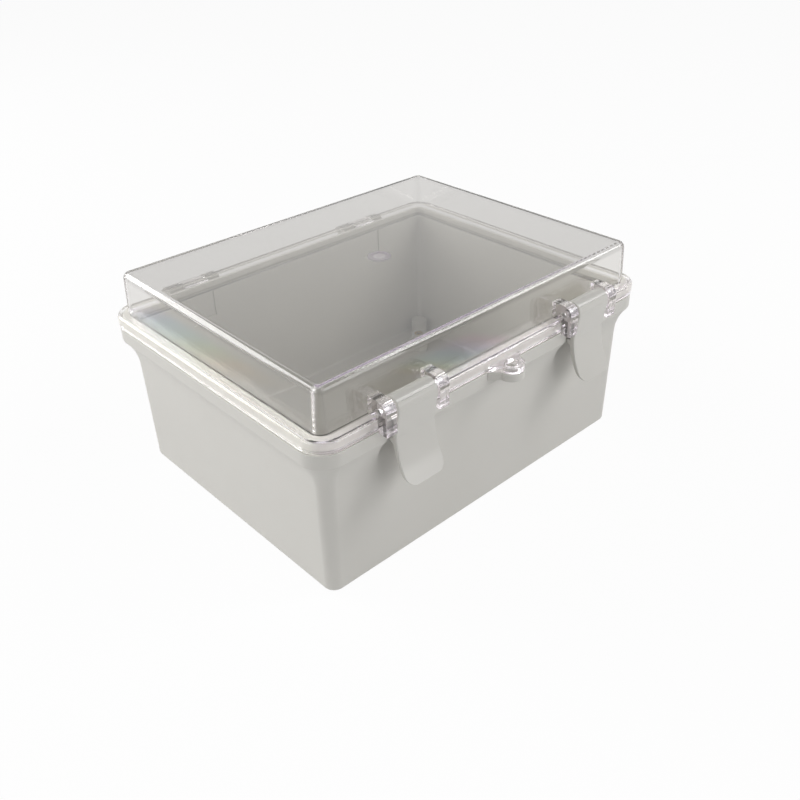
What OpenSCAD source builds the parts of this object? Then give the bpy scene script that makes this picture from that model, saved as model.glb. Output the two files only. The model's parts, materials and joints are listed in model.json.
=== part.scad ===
// Waterproof junction box: a grey tub, a clear hinged cover and two lever latches.
// Millimetres. X runs along the latch side, the latches face -Y, Z is up, and the
// origin is the middle of the tub's underside.

/* [Overall] */
// length over the cover's flange
flange_length = 220; // [190:1:300]
// width over the cover's flange
flange_width = 170; // [130:1:240]
// height from the underside to the top of the dome
box_height = 110; // [104:1:160]
// radius of the flange's corners in plan
corner_radius = 13; // [12.5:0.5:18]

/* [Tub] */
// height of the collar's top face
collar_top = 81.5; // [60:0.5:86]
// height of the collar's upright outer face
collar_face = 7; // [5:0.5:9]
// height of the cove under the collar
cove_height = 16; // [10:0.5:24]
// inset of the collar's outer face from the flange
collar_inset = 0.3; // [0.1:0.1:0.8]
// inset of the tub's wall from the flange, just under the cove
wall_inset = 6.3; // [5.5:0.1:7]
// how much further in the wall is at the underside
wall_draft = 0.7; // [0.2:0.1:1.2]
// thickness of the tub's wall
wall = 3; // [2.2:0.1:3.4]
// thickness of the tub's floor
floor_thickness = 3; // [2.2:0.1:4]
// radius of the tub's lower outside edge
bottom_radius = 2.5; // [1:0.1:4]
// radius of the tub's lower inside edge
inside_radius = 1.5; // [0.5:0.1:2]
// width of the sealing tongue on the collar
tongue_width = 1.8; // [1:0.1:2.4]
// height of the sealing tongue
tongue_height = 1.4; // [1.3:0.1:3]

/* [Cover] */
// gap between the collar and the flange, seen as the dark parting line
parting_gap = 0.9; // [0.6:0.1:1.2]
// height of the flange
flange_height = 6.2; // [5.6:0.1:8]
// radius of the flange's upper edge
flange_radius = 2; // [0.5:0.1:2.4]
// inset of the dome's foot from the flange
dome_inset = 6.1; // [5:0.1:6.4]
// how much further in the dome's wall is at the top
dome_draft = 1.1; // [0.2:0.1:1.3]
// radius of the dome's upright corners at its foot
dome_corner = 5.3; // [5.1:0.1:7]
// thickness of the dome's walls
dome_wall = 2.7; // [2.2:0.1:3.2]
// thickness of the dome's top
dome_top = 2.8; // [2:0.1:4]
// outside radius of the dome's upper edge
dome_radius = 3.5; // [1:0.1:4]
// inside radius of the dome's upper edge
dome_inside_radius = 1.2; // [0.4:0.1:2]
// inset of the gasket groove from the flange
groove_inset = 2.8; // [2.2:0.1:3.2]
// width of the gasket groove
groove_width = 3.4; // [2.8:0.1:3.8]
// depth of the gasket groove
groove_depth = 3.8; // [3:0.1:4.2]
// step from the groove to the skirt that rests on the collar
skirt_step = 0.2; // [0.1:0.1:0.4]
// diameter of the gate mark in the dome's top
gate_diameter = 9; // [6:0.5:14]
// diameter of the gate stub inside the mark
gate_stub = 3.6; // [2:0.2:5]
// depth of the gate mark
gate_depth = 0.3; // [0.2:0.1:0.6]

/* [Latches] */
// distance between the middles of the two latches
latch_spacing = 120; // [80:1:130]
// width of a lever
lever_width = 23; // [18:0.5:28]
// side gap between a lever and an ear
lever_gap = 0.9; // [0.3:0.1:1.2]
// radius of a lever's barrel
barrel_radius = 5; // [4.4:0.1:5.2]
// room round the barrel in the flange
barrel_room = 0.5; // [0.3:0.1:0.7]
// distance of the latch pin in front of the flange
latch_pin_out = 0.5; // [0.3:0.1:1.2]
// height of the latch pin above the flange
latch_pin_up = 3; // [2.6:0.1:4]
// diameter of a latch pin
latch_pin_diameter = 3; // [2:0.1:4]
// depth of a latch pin's end inside the ear's face
latch_pin_inset = 0.8; // [0.3:0.1:1.6]
// thickness of a lever's plate
lever_thickness = 2.8; // [2:0.1:3]
// gap between a lever's plate and the flange
lever_back_gap = 0.8; // [0.5:0.1:1.2]
// angle above level at which a lever's front starts on the barrel
ledge_angle = 39; // [30:1:45]
// step from the barrel to a lever's front
ledge_step = 0.35; // [0.2:0.05:0.4]
// angle below level at which a lever's front has its crease
crease_angle = 18; // [14:1:30]
// length of a lever below its pin
lever_length = 37.2; // [32:0.1:44]
// height of a lever's curved lower part
lever_curve = 23.1; // [20:0.1:26]
// how far a lever's front curves out
lever_flare = 7.9; // [5:0.1:10]
// level thickness of a lever at its tip
lever_tip = 1.7; // [1.2:0.1:2]
// radius of a lever's lower corners
lever_corner = 5; // [3:0.5:9]
// height of the nose on a lever's back
nose_height = 4; // [3:0.1:5]
// thickness of an ear
ear_thickness = 5.8; // [4:0.1:7]
// height of an ear's top above its pin
ear_up = 5.2; // [4.6:0.1:6]
// reach of an ear in front of its pin
ear_out = 5; // [4.6:0.1:6]
// radius of an ear's upper front
ear_radius = 5; // [2:0.1:6]
// how far an ear hangs below the flange
ear_drop = 1.2; // [0.8:0.1:3]
// gap between an ear and the collar
ear_back_gap = 0.5; // [0.3:0.1:0.8]
// half width of the collar's notch beyond the lever
notch_margin = 1.5; // [1:0.1:3]
// radius of the collar's corners beside the notch
notch_radius = 1; // [0.5:0.1:3]
// inset of the catch edge behind a lever
catch_inset = 2; // [1.2:0.1:2.4]
// height of the catch edge
catch_height = 4.9; // [3.5:0.1:5.4]
// gap between a lever's nose and the catch edge
catch_gap = 0.4; // [0.3:0.1:0.6]

/* [Hinges] */
// distance between the middles of the two hinges
hinge_spacing = 120; // [60:1:140]
// distance of the hinge axis behind the flange
hinge_out = 4.5; // [4.4:0.1:6]
// radius of the knuckles
knuckle_radius = 4; // [3:0.1:4]
// width of the cover's middle knuckle
cover_knuckle = 14; // [8:1:24]
// width of each of the tub's knuckles
tub_knuckle = 8; // [5:1:14]
// side gap between knuckles
knuckle_gap = 0.4; // [0.2:0.1:0.8]
// angle at which a knuckle's arm leaves its round
arm_angle = 14; // [5:1:30]
// width of the shallow relief in the tub's wall behind a hinge
relief_width = 12.5; // [8:0.5:20]
// depth of the relief
relief_depth = 0.8; // [0.4:0.1:0.9]
// height of the relief below the collar's top
relief_height = 14.5; // [10:0.5:20]
// diameter of a hinge pin
hinge_pin_diameter = 3; // [2:0.1:4]
// play in the diameter of a bore that turns on a pin
pin_play = 0.1; // [0.04:0.02:0.18]

/* [Padlock eye] */
// diameter of the hole
eye_hole = 6.6; // [4:0.1:8]
// radius of the eye's nose
eye_radius = 6.3; // [5.4:0.1:8]
// distance of the hole in front of the flange
eye_out = 4.5; // [4.2:0.1:7]
// half width of the eye at its root
eye_root = 11; // [8.5:0.5:16]
// thickness of the cover's eye
eye_thickness = 2.8; // [2:0.1:4]
// thickness of the tub's lug
lug_thickness = 4; // [2.5:0.1:5]
// gap between the eye and the lug
eye_gap = 0.4; // [0.3:0.1:0.5]

/* [Posts and wall holes] */
// distance of the posts from the flange's faces
post_inset = 30; // [29:0.5:45]
// diameter of a post
post_diameter = 9; // [8:0.5:11]
// height of a post above the underside
post_height = 12; // [9.5:0.5:30]
// outside diameter of a brass insert
insert_diameter = 5.6; // [4.5:0.1:6.5]
// bore of a brass insert
insert_bore = 3.3; // [2:0.1:4]
// length of a brass insert
insert_length = 8; // [4:0.5:8.5]
// distance of the wall holes from the flange's faces
wall_hole_inset = 18; // [17:0.5:19]
// diameter of a wall hole
wall_hole_diameter = 4.2; // [3:0.1:5.5]
// depth of a wall hole
wall_hole_depth = 10; // [6:0.5:20]
// diameter of the boss round a wall hole
wall_boss_diameter = 10; // [8:0.5:11]

/* [Hidden] */
$fn = 96;

// colours
grey = [0.76, 0.75, 0.73];
clear = [0.86, 0.88, 0.88, 0.45];
pale = [0.92, 0.91, 0.88];
steel = [0.62, 0.62, 0.62];
brass = [0.78, 0.63, 0.32];

// how far a cut runs past a face, a root reaches into its wall and a corner hides in a round
overcut = 1;
root = 1.2;
tuck = 0.15;

// distance of the flange's long faces from the middle plane
face = flange_width / 2;

// heights
flange_bottom = collar_top + parting_gap;
flange_top = flange_bottom + flange_height;
collar_foot = collar_top - collar_face;
cove_foot = collar_foot - cove_height;
groove_top = flange_bottom + groove_depth;
tongue_top = collar_top + tongue_height;
dome_ceiling = box_height - dome_top;
eye_bottom = collar_top + eye_gap;
lug_bottom = collar_top - lug_thickness;

// insets from the flange
wall_foot_inset = wall_inset + wall_draft;
tub_inside = wall_inset + wall;
tub_inside_foot = wall_foot_inset + wall;
groove_inside = groove_inset + groove_width;
tongue_inset = groove_inset + (groove_width - tongue_width) / 2;
skirt_inset = groove_inside + skirt_step;
dome_top_inset = dome_inset + dome_draft;

// latch positions, measured forward from the middle plane
pin_front = face + latch_pin_out;
pin_height = flange_top + latch_pin_up;
lever_back = face + lever_back_gap;
lever_front = lever_back + lever_thickness;
lever_bottom = pin_height - lever_length;
lever_bend = lever_bottom + lever_curve;
ear_inner = lever_width / 2 + lever_gap;
ear_outer = ear_inner + ear_thickness;
ear_bottom = flange_bottom - ear_drop;
ear_back = face - collar_inset + ear_back_gap;
notch_half = lever_width / 2 + notch_margin;
catch_foot = collar_top - catch_height;
catch_front = face - catch_inset;
nose_tip = catch_front + catch_gap;
nose_top = catch_foot - catch_gap;

// hinge axis and the knuckles' places
hinge_y = face + hinge_out;
hinge_z = collar_top + parting_gap / 2;
tub_knuckle_mid = cover_knuckle / 2 + knuckle_gap + tub_knuckle / 2;
hinge_length = cover_knuckle + 2 * (knuckle_gap + tub_knuckle);

// distances between the posts and between the wall holes
post_x = flange_length - 2 * post_inset;
post_y = flange_width - 2 * post_inset;
wall_hole_x = flange_length - 2 * wall_hole_inset;
wall_hole_y = flange_width - 2 * wall_hole_inset;

// radius of an arc that starts upright and moves sideways by "out" over a height "down"
function arc_radius(out, down) = (out * out + down * down) / (2 * out);

// radius about a corner centre of a surface that is set in from the flange
function from_corner(inset) = corner_radius - inset;

// distance from the middle to a corner centre, for a side that is set in from the flange
function corner_centre(size, inset, radius) = size / 2 - inset - radius;

// carries a profile of radius and height round the four sides and corners
module carried(inset = 0, radius = corner_radius) {
    x = corner_centre(flange_length, inset, radius);
    y = corner_centre(flange_width, inset, radius);
    for (turn = [0, 180])
        rotate([90, 0, turn])
            translate([x, 0, 0])
                linear_extrude(2 * y, center = true) children();
    for (turn = [90, 270])
        rotate([90, 0, turn])
            translate([y, 0, 0])
                linear_extrude(2 * x, center = true) children();
    for (corner = [[1, 1, 0], [-1, 1, 90], [-1, -1, 180], [1, -1, 270]])
        translate([corner[0] * x, corner[1] * y, 0])
            rotate([0, 0, corner[2]])
                rotate_extrude(angle = 90) children();
}

// the same, filled in the middle between two heights
module filled(low, high, inset = 0, radius = corner_radius) {
    x = corner_centre(flange_length, inset, radius);
    y = corner_centre(flange_width, inset, radius);
    carried(inset, radius) children();
    translate([-x, -y, low])
        cube([2 * x, 2 * y, high - low]);
}

// what to take off an upper outside corner at [x, y] to leave a round that is tangent to
// the level top and to a side that moves out by "slope" for each unit of height downward
module above_round(x, y, radius, slope = 0) {
    steep = sqrt(1 + slope * slope);
    reach = radius + overcut;
    translate([x + radius * (slope - steep), y - radius])
        difference() {
            polygon([[0, 0], [reach, reach * slope] / steep, [reach, reach], [0, reach]]);
            circle(radius);
        }
}

// the same for a lower outside corner, below a side that moves out upward
module below_round(x, y, radius, slope = 0) {
    translate([0, y])
        mirror([0, 1])
            above_round(x, 0, radius, slope);
}

// extrudes a side view of forward distance and height along X
module across(width) {
    rotate([90, 0, -90])
        linear_extrude(width, center = true) children();
}

// the same on the hinge side, where the distance runs backward
module across_back(width) {
    rotate([90, 0, 90])
        linear_extrude(width, center = true) children();
}

// rod along X
module rod(y, z, diameter, length) {
    translate([0, y, z])
        rotate([0, 90, 0])
            cylinder(d = diameter, h = length, center = true);
}

// one copy to the left and one to the right
module pair(distance) {
    for (side = [-1, 1])
        translate([side * distance / 2, 0, 0]) children();
}

// one copy at each corner of a rectangle
module at_corners(x, y) {
    for (side = [-1, 1])
        translate([0, side * y / 2, 0])
            pair(x) children();
}

// half section of the tub's outside: drafted wall, cove and collar
module tub_outside_profile() {
    cove_radius = arc_radius(wall_inset - collar_inset, cove_height);
    difference() {
        polygon([
            [0, 0],
            [from_corner(wall_foot_inset), 0],
            [from_corner(wall_inset), cove_foot],
            [from_corner(collar_inset), collar_foot],
            [from_corner(collar_inset), collar_top],
            [0, collar_top]
        ]);
        translate([from_corner(wall_inset) + cove_radius, cove_foot])
            circle(cove_radius);
        below_round(from_corner(wall_foot_inset), 0, bottom_radius, wall_draft / cove_foot);
    }
}

module tub_inside_profile() {
    difference() {
        polygon([
            [0, floor_thickness],
            [from_corner(tub_inside_foot), floor_thickness],
            [from_corner(tub_inside), cove_foot],
            [from_corner(tub_inside), collar_top + overcut],
            [0, collar_top + overcut]
        ]);
        below_round(
            from_corner(tub_inside_foot), floor_thickness, inside_radius,
            wall_draft / (cove_foot - floor_thickness)
        );
    }
}

module tongue_profile() {
    translate([from_corner(tongue_inset + tongue_width), collar_top - root])
        square([tongue_width, tongue_height + root]);
}

// front view of the notch behind a lever, which widens round the collar's lower corners
module notch_view() {
    flare = notch_half + notch_radius;
    turn = collar_foot + notch_radius;
    difference() {
        union() {
            translate([-flare, cove_foot])
                square([2 * flare, turn - cove_foot]);
            translate([-notch_half, turn - overcut])
                square([2 * notch_half, collar_top - turn + 2 * overcut]);
        }
        for (side = [-1, 1])
            translate([side * flare, turn])
                circle(notch_radius);
    }
}

// the notch in front of a plane, between two heights
module notch_cut(front, low, high) {
    translate([0, -front, 0])
        rotate([90, 0, 0])
            linear_extrude(face + overcut - front)
                intersection() {
                    notch_view();
                    translate([-flange_length / 2, low])
                        square([flange_length, high - low]);
                }
}

// plan of the padlock eye and of the lug below it
module eye_plan() {
    nose = -face - eye_out;
    neck = eye_radius - tuck;
    translate([0, nose])
        circle(eye_radius);
    polygon([
        [-eye_root, root - face],
        [-eye_root, -face],
        [-neck, nose],
        [neck, nose],
        [eye_root, -face],
        [eye_root, root - face]
    ]);
}

module eye_bore(low, high) {
    translate([0, -face - eye_out, low])
        cylinder(d = eye_hole, h = high - low);
}

// knuckle with an arm to a wall between two heights; the arm leaves the round at "side",
// which is 1 for its top and -1 for its underside
module knuckle(width, low, high, side) {
    reach = knuckle_radius - tuck;
    across_back(width) {
        translate([hinge_y, hinge_z])
            circle(knuckle_radius);
        polygon([
            [face - root, low],
            [face - root, high],
            [hinge_y - side * reach * sin(arm_angle), hinge_z + side * reach * cos(arm_angle)],
            [hinge_y, hinge_z]
        ]);
    }
}

module tub_hinges() {
    pair(hinge_spacing)
        pair(2 * tub_knuckle_mid)
            knuckle(tub_knuckle, collar_top - tuck, collar_foot + tuck, -1);
}

// shallow relief in the inside of the wall behind a hinge
module hinge_relief() {
    translate([-relief_width / 2, face - tub_inside - overcut, collar_top - relief_height])
        cube([relief_width, relief_depth + overcut, relief_height + overcut]);
}

module cover_hinges() {
    pair(hinge_spacing)
        knuckle(cover_knuckle, flange_bottom, flange_bottom + knuckle_radius, 1);
}

module hinge_bores(diameter) {
    pair(hinge_spacing)
        rod(hinge_y, hinge_z, diameter, hinge_length + overcut);
}

module base_tub() {
    color(grey)
        difference() {
            union() {
                difference() {
                    filled(0, collar_top) tub_outside_profile();
                    filled(floor_thickness, collar_top + overcut) tub_inside_profile();
                    pair(hinge_spacing) hinge_relief();
                    pair(latch_spacing) {
                        notch_cut(face - wall_inset, cove_foot, catch_foot);
                        notch_cut(catch_front, catch_foot, collar_top + overcut);
                    }
                }
                carried() tongue_profile();
                tub_hinges();
                translate([0, 0, lug_bottom])
                    linear_extrude(lug_thickness) eye_plan();
                at_corners(post_x, post_y)
                    translate([0, 0, floor_thickness - root])
                        cylinder(d = post_diameter, h = post_height - floor_thickness + root);
                at_corners(wall_hole_x, wall_hole_y)
                    translate([0, 0, floor_thickness - root])
                        cylinder(d = wall_boss_diameter, h = wall_hole_depth + root);
            }
            eye_bore(lug_bottom - overcut, collar_top + overcut);
            hinge_bores(hinge_pin_diameter);
            at_corners(post_x, post_y)
                translate([0, 0, post_height - insert_length])
                    cylinder(d = insert_diameter, h = insert_length + overcut);
            at_corners(wall_hole_x, wall_hole_y)
                translate([0, 0, -overcut])
                    cylinder(d = wall_hole_diameter, h = wall_hole_depth + overcut);
        }
}

// half section of the cover's rim: skirt and flange
module rim_profile() {
    difference() {
        polygon([
            [0, collar_top],
            [from_corner(skirt_inset), collar_top],
            [from_corner(skirt_inset), flange_bottom],
            [from_corner(0), flange_bottom],
            [from_corner(0), flange_top],
            [0, flange_top]
        ]);
        above_round(from_corner(0), flange_top, flange_radius);
    }
}

// half sections of the dome, outside and inside, from its own corner centre
module dome_outside_profile() {
    difference() {
        polygon([
            [0, flange_top - root],
            [dome_corner, flange_top - root],
            [dome_corner, flange_top],
            [dome_corner - dome_draft, box_height],
            [0, box_height]
        ]);
        above_round(
            dome_corner - dome_draft, box_height, dome_radius,
            dome_draft / (box_height - flange_top)
        );
    }
}

module dome_inside_profile() {
    foot = dome_corner - dome_wall;
    difference() {
        polygon([
            [0, collar_top - overcut],
            [foot, collar_top - overcut],
            [foot, flange_top],
            [foot - dome_draft, dome_ceiling],
            [0, dome_ceiling]
        ]);
        above_round(
            foot - dome_draft, dome_ceiling, dome_inside_radius,
            dome_draft / (dome_ceiling - flange_top)
        );
    }
}

module groove_profile() {
    translate([from_corner(groove_inside), flange_bottom - overcut])
        square([groove_width, groove_depth + overcut]);
}

// ear that stands on the flange against the dome and hangs down in front of the collar
module ear() {
    front = pin_front + ear_out;
    top = pin_height + ear_up;
    dome_root = face - dome_top_inset - root;
    across(ear_thickness)
        difference() {
            polygon([
                [dome_root, flange_top - root],
                [dome_root, top],
                [front, top],
                [front, ear_bottom],
                [ear_back, ear_bottom],
                [ear_back, flange_bottom + root],
                [face - root, flange_bottom + root],
                [face - root, flange_top - root]
            ]);
            above_round(front, top, ear_radius);
        }
}

module gate_mark() {
    translate([0, 0, box_height - gate_depth])
        difference() {
            cylinder(d = gate_diameter, h = gate_depth + overcut);
            translate([0, 0, -overcut])
                cylinder(d = gate_stub, h = gate_depth + 3 * overcut);
        }
}

module clear_cover() {
    color(clear)
        difference() {
            union() {
                filled(collar_top, flange_top) rim_profile();
                filled(flange_top - root, box_height, dome_inset, dome_corner) dome_outside_profile();
                pair(latch_spacing)
                    pair(ear_inner + ear_outer) ear();
                cover_hinges();
                translate([0, 0, eye_bottom])
                    linear_extrude(eye_thickness) eye_plan();
            }
            filled(collar_top - overcut, dome_ceiling, dome_inset, dome_corner) dome_inside_profile();
            carried() groove_profile();
            pair(latch_spacing) {
                rod(-pin_front, pin_height, 2 * (barrel_radius + barrel_room), 2 * ear_inner);
                rod(-pin_front, pin_height, latch_pin_diameter, 2 * ear_outer + overcut);
            }
            hinge_bores(hinge_pin_diameter + pin_play);
            eye_bore(eye_bottom - overcut, eye_bottom + eye_thickness + overcut);
            gate_mark();
        }
}

module cover_gasket() {
    color(pale)
        carried()
            translate([from_corner(groove_inside), tongue_top])
                square([groove_width, groove_top - tongue_top]);
}

// side view of a lever's upper part: a ledge on the barrel, a crease, then straight down to the bend
module upper_plate_view() {
    ledge_radius = barrel_radius + ledge_step;
    ledge_height = pin_height + ledge_radius * sin(ledge_angle);
    polygon([
        [lever_front, lever_bend],
        [pin_front + ledge_radius * cos(crease_angle), pin_height - ledge_radius * sin(crease_angle)],
        [pin_front + ledge_radius * cos(ledge_angle), ledge_height],
        [pin_front, ledge_height],
        [lever_back, pin_height - barrel_radius / 2],
        [lever_back, lever_bend]
    ]);
}

// side view of a lever's curved lower part, thinner towards the tip
module lower_plate_view() {
    back_radius = arc_radius(lever_flare + lever_thickness - lever_tip, lever_curve);
    front_radius = arc_radius(lever_flare, lever_curve);
    difference() {
        intersection() {
            translate([lever_back + back_radius, lever_bend])
                circle(back_radius);
            translate([lever_back, lever_bottom - overcut])
                square([lever_flare + lever_thickness + 2 * overcut, lever_curve + overcut]);
        }
        translate([lever_front + front_radius, lever_bend])
            circle(front_radius);
    }
}

module nose_view() {
    polygon([
        [lever_back + lever_thickness / 2, nose_top],
        [nose_tip, nose_top],
        [nose_tip, nose_top - nose_height / 2],
        [lever_back + lever_thickness / 2, nose_top - nose_height]
    ]);
}

// front view of a lever, with its two lower corners rounded
module lever_front_view() {
    difference() {
        translate([-lever_width / 2, lever_bottom])
            square([lever_width, lever_curve + overcut]);
        for (side = [0, 1])
            mirror([side, 0])
                below_round(lever_width / 2, lever_bottom, lever_corner);
    }
}

module lever() {
    difference() {
        union() {
            rod(-pin_front, pin_height, 2 * barrel_radius, lever_width);
            across(lever_width) upper_plate_view();
            across(lever_width) nose_view();
            intersection() {
                across(lever_width) lower_plate_view();
                translate([0, -lever_back + overcut, 0])
                    rotate([90, 0, 0])
                        linear_extrude(lever_flare + lever_thickness + 2 * overcut) lever_front_view();
            }
        }
        rod(-pin_front, pin_height, latch_pin_diameter + pin_play, lever_width + overcut);
    }
}

module latch_left() {
    color(grey)
        translate([-latch_spacing / 2, 0, 0]) lever();
}

module latch_right() {
    color(grey)
        translate([latch_spacing / 2, 0, 0]) lever();
}

module latch_pins() {
    color(steel)
        pair(latch_spacing)
            rod(-pin_front, pin_height, latch_pin_diameter, 2 * (ear_outer - latch_pin_inset));
}

module hinge_pins() {
    color(steel)
        pair(hinge_spacing)
            rod(hinge_y, hinge_z, hinge_pin_diameter, hinge_length);
}

module post_inserts() {
    color(brass)
        at_corners(post_x, post_y)
            translate([0, 0, post_height - insert_length])
                difference() {
                    cylinder(d = insert_diameter, h = insert_length);
                    translate([0, 0, -overcut])
                        cylinder(d = insert_bore, h = insert_length + 2 * overcut);
                }
}

base_tub();
clear_cover();
cover_gasket();
latch_left();
latch_right();
latch_pins();
hinge_pins();
post_inserts();
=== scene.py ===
import json
from math import radians

import bmesh
import bpy
from mathutils import Matrix, Vector


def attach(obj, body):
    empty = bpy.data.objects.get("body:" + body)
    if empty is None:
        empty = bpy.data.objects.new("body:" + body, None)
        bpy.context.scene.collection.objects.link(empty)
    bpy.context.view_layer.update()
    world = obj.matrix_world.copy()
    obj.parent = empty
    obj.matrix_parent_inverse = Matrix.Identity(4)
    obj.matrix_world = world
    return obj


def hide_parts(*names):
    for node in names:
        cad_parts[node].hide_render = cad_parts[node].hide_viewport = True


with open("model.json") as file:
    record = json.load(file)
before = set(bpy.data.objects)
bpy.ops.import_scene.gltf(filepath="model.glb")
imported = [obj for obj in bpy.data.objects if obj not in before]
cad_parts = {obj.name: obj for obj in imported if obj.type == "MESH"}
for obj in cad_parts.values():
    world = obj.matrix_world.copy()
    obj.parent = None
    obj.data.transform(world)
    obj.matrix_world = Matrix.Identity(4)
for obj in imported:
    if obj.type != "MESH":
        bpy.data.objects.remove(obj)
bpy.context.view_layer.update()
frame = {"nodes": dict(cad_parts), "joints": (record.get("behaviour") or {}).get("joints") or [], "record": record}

# Tub: the grey lower half, injection moulded in ABS with a fine etched satin finish. Its edges have a small
# radius, but not the collar's top at the back, where the knuckles leave no room. Posts for a mounting plate
# and bosses for the wall screws stand on its floor, and the collar carries the sealing tongue.
TUB_EDGE = 0.0003
COLLAR_BACK_TOP = ((-0.0980, 0.0840, 0.0812), (0.0980, 0.0860, 0.0818))
SAME_POINT = 1e-6
FLAT = radians(0.5)
SHARP = radians(25)
ROUNDED_SHARE = 0.42
ROUNDING_STEPS = 3
MANY_CORNERS = 12
ABS_GREY = (213, 211, 206)
ABS_GREY_DEEP = (207, 205, 199)
SATIN = 0.40
ETCH_PER_METRE = 2300
ETCH_DETAIL = 2.0
ETCH_STRENGTH = 0.35
ETCH_DEPTH = 0.00003
ETCH_DULLS = 0.08
FLOW_PER_METRE = 22
FLOW_DETAIL = 3.0
FLOW_DULLS = 0.06


def linear(red, green, blue):
    """A colour given in 0 to 255 screen values, as the shader wants it."""
    shares = [channel / 255 for channel in (red, green, blue)]
    return [s / 12.92 if s <= 0.04045 else ((s + 0.055) / 1.055) ** 2.4 for s in shares] + [1.0]


class Socket:
    """A socket of a finish's nodes. Arithmetic on it adds Math nodes."""

    def __init__(self, tree, socket):
        self.tree = tree
        self.socket = socket

    def node(self, kind, settings=None, inputs=None, output=0):
        """Adds a node: its settings are set first, then its sockets get values or links."""
        added = self.tree.nodes.new(kind)
        for name, value in (settings or {}).items():
            if name == "stops":
                stops = added.color_ramp.elements
                while len(stops) < len(value):
                    stops.new(1.0)
                for stop, (position, colour) in zip(stops, value):
                    stop.position = position
                    stop.color = colour
            else:
                setattr(added, name, value)
        for name, value in (inputs or {}).items():
            if isinstance(value, Socket):
                self.tree.links.new(value.socket, added.inputs[name])
            else:
                added.inputs[name].default_value = value
        return Socket(self.tree, added.outputs[output]) if added.outputs else None

    def math(self, operation, first, second=0.0):
        """Adds a Math node for an operation that has no sign of its own."""
        return self.node("ShaderNodeMath", {"operation": operation}, {0: first, 1: second})

    def __add__(self, other):
        return self.math("ADD", self, other)

    def __radd__(self, other):
        return self.math("ADD", other, self)

    def __sub__(self, other):
        return self.math("SUBTRACT", self, other)

    def __rsub__(self, other):
        return self.math("SUBTRACT", other, self)

    def __mul__(self, other):
        return self.math("MULTIPLY", self, other)

    def __rmul__(self, other):
        return self.math("MULTIPLY", other, self)

    def between(self, low, high):
        """The colour that lies this far from one colour to another."""
        settings = {"data_type": "RGBA"}
        return self.node("ShaderNodeMix", settings, {0: self, 6: low, 7: high}, output=2)

    def clouds(self, per_metre, detail):
        """A cloudy pattern over these coordinates."""
        inputs = {"Vector": self, "Scale": per_metre, "Detail": detail}
        return self.node("ShaderNodeTexNoise", inputs=inputs)

    def relief(self, strength, depth):
        """The normals of a surface that this pattern raises and lowers."""
        inputs = {"Strength": strength, "Distance": depth, "Height": self}
        return self.node("ShaderNodeBump", inputs=inputs)

    def surface(self, inputs):
        """Gives the finish one Principled shader."""
        shader = self.node("ShaderNodeBsdfPrincipled", inputs=inputs)
        self.node("ShaderNodeOutputMaterial", inputs={"Surface": shader})


def new_finish(name):
    """An empty material and the Object coordinates that its patterns read."""
    finish = bpy.data.materials.new(name)
    finish.use_nodes = True
    finish.node_tree.nodes.clear()
    place = Socket(finish.node_tree, None).node("ShaderNodeTexCoord", output=3)
    return finish, place


def copy_of(node, name):
    """A copy of a CAD node as a piece of its own, selected and active."""
    bpy.ops.object.select_all(action="DESELECT")
    source = frame["nodes"][node]
    piece = source.copy()
    piece.data = source.data.copy()
    piece.name = piece.data.name = name
    piece.parent = None
    for key in list(piece.keys()):
        del piece[key]
    bpy.context.scene.collection.objects.link(piece)
    bpy.context.view_layer.objects.active = piece
    piece.select_set(True)
    return piece


def join_flats(partings):
    """Joins the triangles of each flat face of the piece in edit mode, but not across the partings."""
    bpy.ops.mesh.customdata_custom_splitnormals_clear()
    bpy.ops.mesh.select_all(action="SELECT")
    bpy.ops.mesh.remove_doubles(threshold=SAME_POINT)
    for point, direction in partings:
        bpy.ops.mesh.select_all(action="SELECT")
        bpy.ops.mesh.bisect(plane_co=point, plane_no=direction)
        bpy.ops.mesh.mark_seam()
    bpy.ops.mesh.select_all(action="SELECT")
    bpy.ops.mesh.dissolve_limited(angle_limit=FLAT, delimit={"SEAM"})
    bpy.ops.mesh.mark_seam(clear=True)


def width_beside(line, side):
    """How wide a face is beside one of its edges, up to its nearest corner across from the edge."""
    start = line.verts[0].co
    run = line.verts[1].co - start
    length = run.length if len(side.verts) < MANY_CORNERS else side.calc_perimeter() / 2
    width = side.calc_area() / length
    for corner in side.verts:
        reach = corner.co - start
        if corner not in line.verts and 0.0 <= reach.dot(run) <= run.length_squared:
            width = min(width, (reach - reach.project(run)).length)
    return width


def within(line, box):
    """Whether both ends of an edge lie in a box, given by its lowest and highest corner."""
    low, high = box
    return all(low[axis] < end.co[axis] < high[axis] for end in line.verts for axis in range(3))


def weigh_edges(piece, edge, crisp):
    """Says how much each outer edge of the piece in edit mode is rounded: less beside a narrow face."""
    shape = bmesh.from_edit_mesh(piece.data)
    weight = shape.edges.layers.float.new("bevel_weight_edge")
    for line in shape.edges:
        if line.calc_face_angle_signed() > SHARP and not any(within(line, box) for box in crisp):
            room = ROUNDED_SHARE * min(width_beside(line, side) for side in line.link_faces)
            line[weight] = min(1.0, room / edge)


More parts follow.
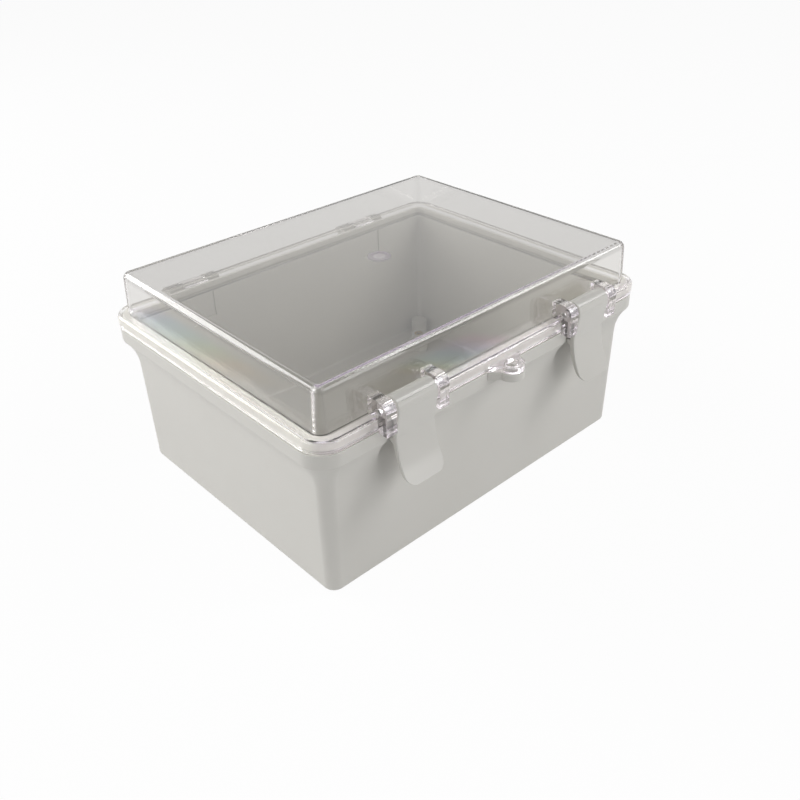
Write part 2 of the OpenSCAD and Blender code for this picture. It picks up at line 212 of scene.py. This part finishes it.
def softened(node, name, edge, finish, partings=(), crisp=()):
    """A copy of a CAD node with its edges rounded as the mould rounds them.

    The partings are planes that part a face round its holes. Edges in the crisp boxes stay as they are.
    """
    piece = copy_of(node, name)
    bpy.ops.object.mode_set(mode="EDIT")
    join_flats(partings)
    weigh_edges(piece, edge, crisp)
    bpy.ops.object.mode_set(mode="OBJECT")
    rounding = piece.modifiers.new("rounded edges", "BEVEL")
    rounding.width = edge
    rounding.segments = ROUNDING_STEPS
    rounding.limit_method = "WEIGHT"
    rounding.use_clamp_overlap = False
    bpy.ops.object.modifier_apply(modifier=rounding.name)
    bpy.ops.object.shade_smooth_by_angle(angle=SHARP)
    flat = piece.modifiers.new("flat faces", "WEIGHTED_NORMAL")
    flat.keep_sharp = True
    bpy.ops.object.modifier_apply(modifier=flat.name)
    piece.data.materials.clear()
    piece.data.materials.append(finish)
    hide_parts(node)
    return piece


def abs_finish(name, roughness):
    """Grey ABS with the flow of the melt and the fine grain of the mould."""
    finish, place = new_finish(name)
    flow = place.clouds(FLOW_PER_METRE, FLOW_DETAIL)
    etch = place.clouds(ETCH_PER_METRE, ETCH_DETAIL)
    place.surface(
        {
            "Base Color": flow.between(linear(*ABS_GREY_DEEP), linear(*ABS_GREY)),
            "Roughness": roughness + ETCH_DULLS * etch + FLOW_DULLS * flow,
            "Normal": etch.relief(ETCH_STRENGTH, ETCH_DEPTH),
        }
    )
    return finish


grey_abs = abs_finish("grey_abs", SATIN)
tub = softened("base_tub", "tub", TUB_EDGE, grey_abs, crisp=[COLLAR_BACK_TOP])
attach(tub, "base")

# Plate inserts: four turned brass bushes, knurled outside and tapped M4, pressed into the posts
# while hot. Only their faces and bores show.
INSERT_EDGE = 0.00025
BRASS = (212, 180, 108)
BRASS_DARK = (176, 142, 76)
BRASS_GLOSS = 0.26
TARNISH_PER_METRE = 400.0
TARNISH_DETAIL = 4.0
TARNISH_DULLS = 0.16
TURNED_PER_METRE = 900
TURNED_WANDER = 0.6
TURNED_STRENGTH = 0.3
TURNED_DEPTH = 0.00002

turned_brass, place = new_finish("turned_brass")
tarnish = place.clouds(TARNISH_PER_METRE, TARNISH_DETAIL)
tool_marks = place.node(
    "ShaderNodeTexWave",
    {"wave_type": "BANDS", "bands_direction": "Z"},
    {"Vector": place, "Scale": TURNED_PER_METRE, "Distortion": TURNED_WANDER},
)
place.surface(
    {
        "Base Color": tarnish.between(linear(*BRASS_DARK), linear(*BRASS)),
        "Metallic": 1.0,
        "Roughness": BRASS_GLOSS + TARNISH_DULLS * tarnish,
        "Normal": tool_marks.relief(TURNED_STRENGTH, TURNED_DEPTH),
    }
)

inserts = softened("post_inserts", "plate_inserts", INSERT_EDGE, turned_brass)
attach(inserts, "base")

# Hinge pins: two lengths of drawn stainless wire, cut and tumbled, pressed through the tub's
# knuckles behind the box. The cover's middle knuckles turn on them.
PIN_EDGE = 0.0003
PIN_FIT = 0.00004
STEEL = (186, 186, 184)
STEEL_DARK = (150, 150, 150)
STEEL_GLOSS = 0.24
DRAWN_PER_METRE = (60.0, 4000.0, 4000.0)
DRAWN_DETAIL = 3.0
DRAWN_STRENGTH = 0.25
DRAWN_DEPTH = 0.00001
DRAWN_DULLS = 0.2

drawn_steel, place = new_finish("drawn_steel")
along_wire = place.node("ShaderNodeMapping", inputs={"Vector": place, "Scale": DRAWN_PER_METRE})
draw_lines = along_wire.clouds(1.0, DRAWN_DETAIL)
place.surface(
    {
        "Base Color": draw_lines.between(linear(*STEEL_DARK), linear(*STEEL)),
        "Metallic": 1.0,
        "Roughness": STEEL_GLOSS + DRAWN_DULLS * draw_lines,
        "Normal": draw_lines.relief(DRAWN_STRENGTH, DRAWN_DEPTH),
    }
)


def eased(piece, fit):
    """Takes a hair off a fitted piece all over, so that it lies in its seat and not in its wall."""
    bpy.ops.object.select_all(action="DESELECT")
    bpy.context.view_layer.objects.active = piece
    piece.select_set(True)
    bpy.ops.object.mode_set(mode="EDIT")
    bpy.ops.mesh.select_all(action="SELECT")
    bpy.ops.transform.shrink_fatten(value=-fit)
    bpy.ops.object.mode_set(mode="OBJECT")
    return piece


hinge_pins = eased(softened("hinge_pins", "hinge_wires", PIN_EDGE, drawn_steel), PIN_FIT)
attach(hinge_pins, "base")

# Cover: one clear polycarbonate moulding with dome, grooved flange, latch ears, padlock eye and hinge
# knuckles. Its top is tinted darker than its walls as painted shade over the inside seen through it, stress
# left by the mould tints two walls in pale bands and dulls the gate's mark, whose darker ring and lighter
# core are painted shade and a painted highlight, and the plastic looks lilac end on.
COVER_EDGE = 0.0002
DOME_LOW, DOME_HIGH = next(
    opening["box_m"]
    for opening in frame["record"]["physics"]["openings"]
    if opening["name"] == "cover_dome"
)
IN_THE_WALL = 0.0002
BESIDE_CORNER = 0.0003
LEFT_WALL = DOME_LOW[0] - IN_THE_WALL
FRONT_WALL = DOME_LOW[1] - IN_THE_WALL
CORNER_ACROSS = DOME_HIGH[0] - BESIDE_CORNER
CORNER_ALONG = DOME_HIGH[1] - BESIDE_CORNER
LATCH_EARS = DOME_LOW[1] - 0.0054
FLANGE_TOP = DOME_LOW[2] + 0.0068
WALL_MIDDLE = DOME_HIGH[2] - 0.0093
WALL_TOP = DOME_HIGH[2] - 0.0013
TOP_UNDERSIDE = DOME_HIGH[2] + 0.0004
CLEAR_WALL = (243, 242, 240)
# The top's darker tint is painted shade over the inside of the tub seen through the top.
CLEAR_TOP_PAINTED_SHADE = (217, 216, 214)
CLEAR_EARS = (242, 238, 242)
CLEAR_GLOSS = 0.02
CORNER_DULLS = 0.2
LIGHT_LET_IN = (229, 229, 227)
STRESS_TINTS = (
    (0.00, (243, 242, 240)),
    (0.14, (249, 234, 243)),
    (0.28, (239, 234, 249)),
    (0.42, (229, 242, 250)),
    (0.54, (231, 246, 244)),
    (0.66, (240, 248, 229)),
    (0.80, (250, 241, 227)),
    (1.00, (243, 242, 240)),
)
LEFT_BANDS = {"slant": 2.5, "none": 0.062, "full": 0.045, "first": 0.66, "per_metre": 6.7}
FRONT_BANDS = {"slant": 2.2, "none": -0.060, "full": -0.046, "first": -0.06, "per_metre": 15.3}
GATE_RING = 0.0066
GATE_RING_FULL = 0.85 * GATE_RING
# The gate mark's ring is painted darker as shade; the mark's dull roughness is its own.
GATE_RING_PAINTED_SHADE = (206, 201, 207)
GATE_CORE = 0.0036
GATE_CORE_FULL = 0.7 * GATE_CORE
# The gate mark's core is painted lighter as a highlight.
GATE_CORE_PAINTED_HIGHLIGHT = (250, 247, 250)
GATE_DULLS = 0.3
RIPPLE_PER_METRE = 45.0
RIPPLE_STRENGTH = 0.02
RIPPLE_DEPTH = 0.0005
LILAC = (0.80, 0.70, 0.88, 1.0)
LILAC_PER_METRE = 5.0
POLYCARBONATE_IOR = 1.585


def fading(value, none, full):
    """From 0 where the value is at its first bound to 1 at its second."""
    return value.node(
        "ShaderNodeMapRange",
        {"interpolation_type": "SMOOTHSTEP"},
        {"Value": value, 1: none, 2: full, 3: 0.0, 4: 1.0},
    )


clear_polycarbonate, place = new_finish("clear_polycarbonate")
across, along, height = (
    place.node("ShaderNodeSeparateXYZ", inputs={"Vector": place}, output=axis) for axis in range(3)
)

above_flange = place.math("GREATER_THAN", height, FLANGE_TOP)
on_wall = above_flange * fading(height, WALL_TOP, WALL_MIDDLE)
on_top = fading(height, WALL_TOP, TOP_UNDERSIDE)
past_ears = place.math("LESS_THAN", along, LATCH_EARS)
on_left_wall = place.math("LESS_THAN", across, LEFT_WALL)
on_front_wall = place.math("LESS_THAN", along, FRONT_WALL) * place.math("GREATER_THAN", along, LATCH_EARS)
past_walls = place.math("GREATER_THAN", place.math("ABSOLUTE", across), CORNER_ACROSS)
past_ends = place.math("GREATER_THAN", place.math("ABSOLUTE", along), CORNER_ALONG)
in_corner = above_flange * past_walls * past_ends

up_wall = height - WALL_MIDDLE
down_left_wall = along + LEFT_BANDS["slant"] * up_wall
down_front_wall = across + FRONT_BANDS["slant"] * up_wall
left_stress = on_left_wall * fading(down_left_wall, LEFT_BANDS["none"], LEFT_BANDS["full"])
front_stress = on_front_wall * fading(down_front_wall, FRONT_BANDS["none"], FRONT_BANDS["full"])
stress = on_wall * place.math("MAXIMUM", left_stress, front_stress)
left_order = LEFT_BANDS["first"] - LEFT_BANDS["per_metre"] * down_left_wall
front_order = FRONT_BANDS["first"] - FRONT_BANDS["per_metre"] * down_front_wall
bands = place.node(
    "ShaderNodeValToRGB",
    {"stops": [(position, linear(*tint)) for position, tint in STRESS_TINTS]},
    {"Fac": on_left_wall * left_order + on_front_wall * front_order},
)

from_gate = across * across + along * along
near_gate = on_top * fading(from_gate, GATE_RING**2, GATE_RING_FULL**2)
at_core = fading(from_gate, GATE_CORE**2, GATE_CORE_FULL**2)
# Painted shade on the gate's ring and a painted highlight on its core.
gate_painted_light = at_core.between(linear(*GATE_RING_PAINTED_SHADE), linear(*GATE_CORE_PAINTED_HIGHLIGHT))

wall_tint = past_ears.between(linear(*CLEAR_WALL), linear(*CLEAR_EARS))
# The top's darker tint mixed in here is painted shade over the inside seen through the top.
tints_and_painted_top_shade = on_top.between(stress.between(wall_tint, bands), linear(*CLEAR_TOP_PAINTED_SHADE))
wave = place.clouds(RIPPLE_PER_METRE, 0.0)
clear = place.node(
    "ShaderNodeBsdfPrincipled",
    inputs={
        "Base Color": near_gate.between(tints_and_painted_top_shade, gate_painted_light),
        "Roughness": CLEAR_GLOSS + CORNER_DULLS * in_corner + GATE_DULLS * near_gate,
        "IOR": POLYCARBONATE_IOR,
        "Transmission Weight": 1.0,
        "Normal": wave.relief(RIPPLE_STRENGTH, RIPPLE_DEPTH),
    },
)
lamp_light = place.node("ShaderNodeBsdfTransparent", inputs={"Color": linear(*LIGHT_LET_IN)})
from_lamp = place.node("ShaderNodeLightPath", output="Is Shadow Ray")
panel = place.node("ShaderNodeMixShader", inputs={0: from_lamp, 1: clear, 2: lamp_light})
depth_tint = place.node(
    "ShaderNodeVolumeAbsorption", inputs={"Color": LILAC, "Density": LILAC_PER_METRE}
)
place.node("ShaderNodeOutputMaterial", inputs={"Surface": panel, "Volume": depth_tint})

cover = softened("clear_cover", "cover", COVER_EDGE, clear_polycarbonate)
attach(cover, "cover")

# Gasket: a soft white silicone ring, moulded square with rounded edges and pressed into the
# flange's groove, where it shows as a white band through the cover.
GASKET_EDGE = 0.0006
GASKET_GRIP = 0.00005
SILICONE = (238, 236, 230)
SILICONE_DEEP = (228, 226, 219)
SILICONE_MATT = 0.5
BLOOM_PER_METRE = 160.0
BLOOM_DETAIL = 4.0
BLOOM_STRENGTH = 0.2
BLOOM_DEPTH = 0.00005
BLOOM_DULLS = 0.15

pale_silicone, place = new_finish("pale_silicone")
bloom = place.clouds(BLOOM_PER_METRE, BLOOM_DETAIL)
place.surface(
    {
        "Base Color": bloom.between(linear(*SILICONE_DEEP), linear(*SILICONE)),
        "Roughness": SILICONE_MATT + BLOOM_DULLS * bloom,
        "Normal": bloom.relief(BLOOM_STRENGTH, BLOOM_DEPTH),
    }
)

gasket = eased(softened("cover_gasket", "gasket", GASKET_EDGE, pale_silicone), -GASKET_GRIP)
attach(gasket, "cover")

# Latch pins: the same drawn wire, one through each pair of ears. They are seen through the clear
# ears, and their ends stop a little short of the ears' faces.
latch_pins = eased(softened("latch_pins", "latch_wires", PIN_EDGE, drawn_steel), PIN_FIT)
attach(latch_pins, "cover")

# Levers: two grey ABS latches of the tub's batch, each a barrel on its pin with a plate that
# flares out to a finger tip. Their edges have a generous moulding radius, and their mould is
# smoother than the tub's.
LEVER_EDGE = 0.0007
POLISHED = 0.14
UPWARD = (0.0, 0.0, 1.0)
JOINT_PLACES = {joint["name"]: joint["pos_m"] for joint in frame["joints"]}

lever_abs = abs_finish("lever_abs", POLISHED)
for side in ("left", "right"):
    through_bore = [(JOINT_PLACES[f"{side}_latch"], UPWARD)]
    lever = softened(f"latch_{side}", f"lever_{side}", LEVER_EDGE, lever_abs, through_bore)
    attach(lever, f"{side}_lever")

# Studio: a plain white sweep of floor and background, four broad soft lamps and a small one for the
# glint on the levers, and the camera of the photograph. From below the floor isn't seen.
AMBIENT = 0.13
FLOOR_SIZE = 6.0
FLOOR_SHARE = 0.05
FIRST_DULL_HIT = 0.5
WHITE = (1.0, 1.0, 1.0, 1.0)
PAPER = (0.85, 0.85, 0.85, 1.0)
LAMPS = {
    "back_lamp": {"place": (-0.6, 1.0, 0.55), "size": 0.75, "watts": 9.0},
    "side_lamp": {"place": (-1.1, 0.1, 0.5), "size": 0.8, "watts": 4.6},
    "front_lamp": {"place": (0.35, -1.2, 0.5), "size": 0.8, "watts": 5.0},
    "key_lamp": {"place": (0.79, -0.64, 0.74), "size": 0.45, "watts": 3.6},
    "glint_lamp": {"place": (0.63, -0.51, 0.98), "size": 0.16, "watts": 0.9},
}
LAMPS_AIM = Vector((0.0, 0.0, 0.06))
LENS_MM = 39.63
CLIP_START = 0.01
CAMERA_PLACE = Vector((-0.272314, -0.311489, 0.289752))
CAMERA_TURN = -42.375
CAMERA_TILT = 57.17
CAMERA_ROLL = -1.34
CLEAR_BOUNCES = 128
LEAST_BOUNCES = 64
SHADOW_BOUNCES = 24


def backdrop_rays(path_start):
    """1 for rays that the camera sends, also by way of gloss or glass, until they meet a dull surface."""
    rays = [
        path_start.node("ShaderNodeLightPath", output=name)
        for name in ("Is Camera Ray", "Is Glossy Ray", "Is Transmission Ray")
    ]
    direct = path_start.math("MAXIMUM", path_start.math("MAXIMUM", rays[0], rays[1]), rays[2])
    dull_hits = path_start.node("ShaderNodeLightPath", output="Diffuse Depth")
    return direct * path_start.math("LESS_THAN", dull_hits, FIRST_DULL_HIT)


bpy.ops.object.select_all(action="DESELECT")
bpy.ops.mesh.primitive_plane_add(size=FLOOR_SIZE)
floor = bpy.context.object
floor.name = "floor"
floor_white, place = new_finish("floor_white")
seen = backdrop_rays(place)
paper = place.node("ShaderNodeBsdfDiffuse", inputs={"Color": seen.between(PAPER, WHITE)})
glow = place.node("ShaderNodeEmission", inputs={"Color": WHITE})
sweep = place.node("ShaderNodeMixShader", inputs={0: seen * (1.0 - FLOOR_SHARE), 1: paper, 2: glow})
from_below = place.node("ShaderNodeNewGeometry", output="Backfacing")
unseen = place.node("ShaderNodeBsdfTransparent")
one_sided = place.node("ShaderNodeMixShader", inputs={0: from_below, 1: sweep, 2: unseen})
place.node("ShaderNodeOutputMaterial", inputs={"Surface": one_sided})
floor.data.materials.append(floor_white)

world = bpy.data.worlds.new("studio")
world.use_nodes = True
world.node_tree.nodes.clear()
start = Socket(world.node_tree, None)
brightness = AMBIENT + (1.0 - AMBIENT) * backdrop_rays(start)
sky = start.node("ShaderNodeBackground", inputs={"Color": WHITE, "Strength": brightness})
start.node("ShaderNodeOutputWorld", inputs={"Surface": sky})
bpy.context.scene.world = world

for name, lamp in LAMPS.items():
    bpy.ops.object.light_add(type="AREA", location=lamp["place"])
    softbox = bpy.context.object
    softbox.name = name
    softbox.data.shape = "SQUARE"
    softbox.data.size = lamp["size"]
    softbox.data.energy = lamp["watts"]
    softbox.rotation_euler = (LAMPS_AIM - Vector(lamp["place"])).to_track_quat("-Z", "Y").to_euler()

bpy.ops.object.camera_add()
camera = bpy.context.object
camera.data.lens = LENS_MM
camera.data.clip_start = CLIP_START
camera.matrix_world = (
    Matrix.Translation(CAMERA_PLACE)
    @ Matrix.Rotation(radians(CAMERA_TURN), 4, "Z")
    @ Matrix.Rotation(radians(CAMERA_TILT), 4, "X")
    @ Matrix.Rotation(radians(CAMERA_ROLL), 4, "Z")
)
bpy.context.scene.camera = camera
bpy.context.scene.view_settings.view_transform = "Standard"
cycles = bpy.context.scene.cycles
cycles.max_bounces = CLEAR_BOUNCES
cycles.min_light_bounces = LEAST_BOUNCES
cycles.transmission_bounces = CLEAR_BOUNCES
cycles.glossy_bounces = CLEAR_BOUNCES
cycles.transparent_max_bounces = SHADOW_BOUNCES
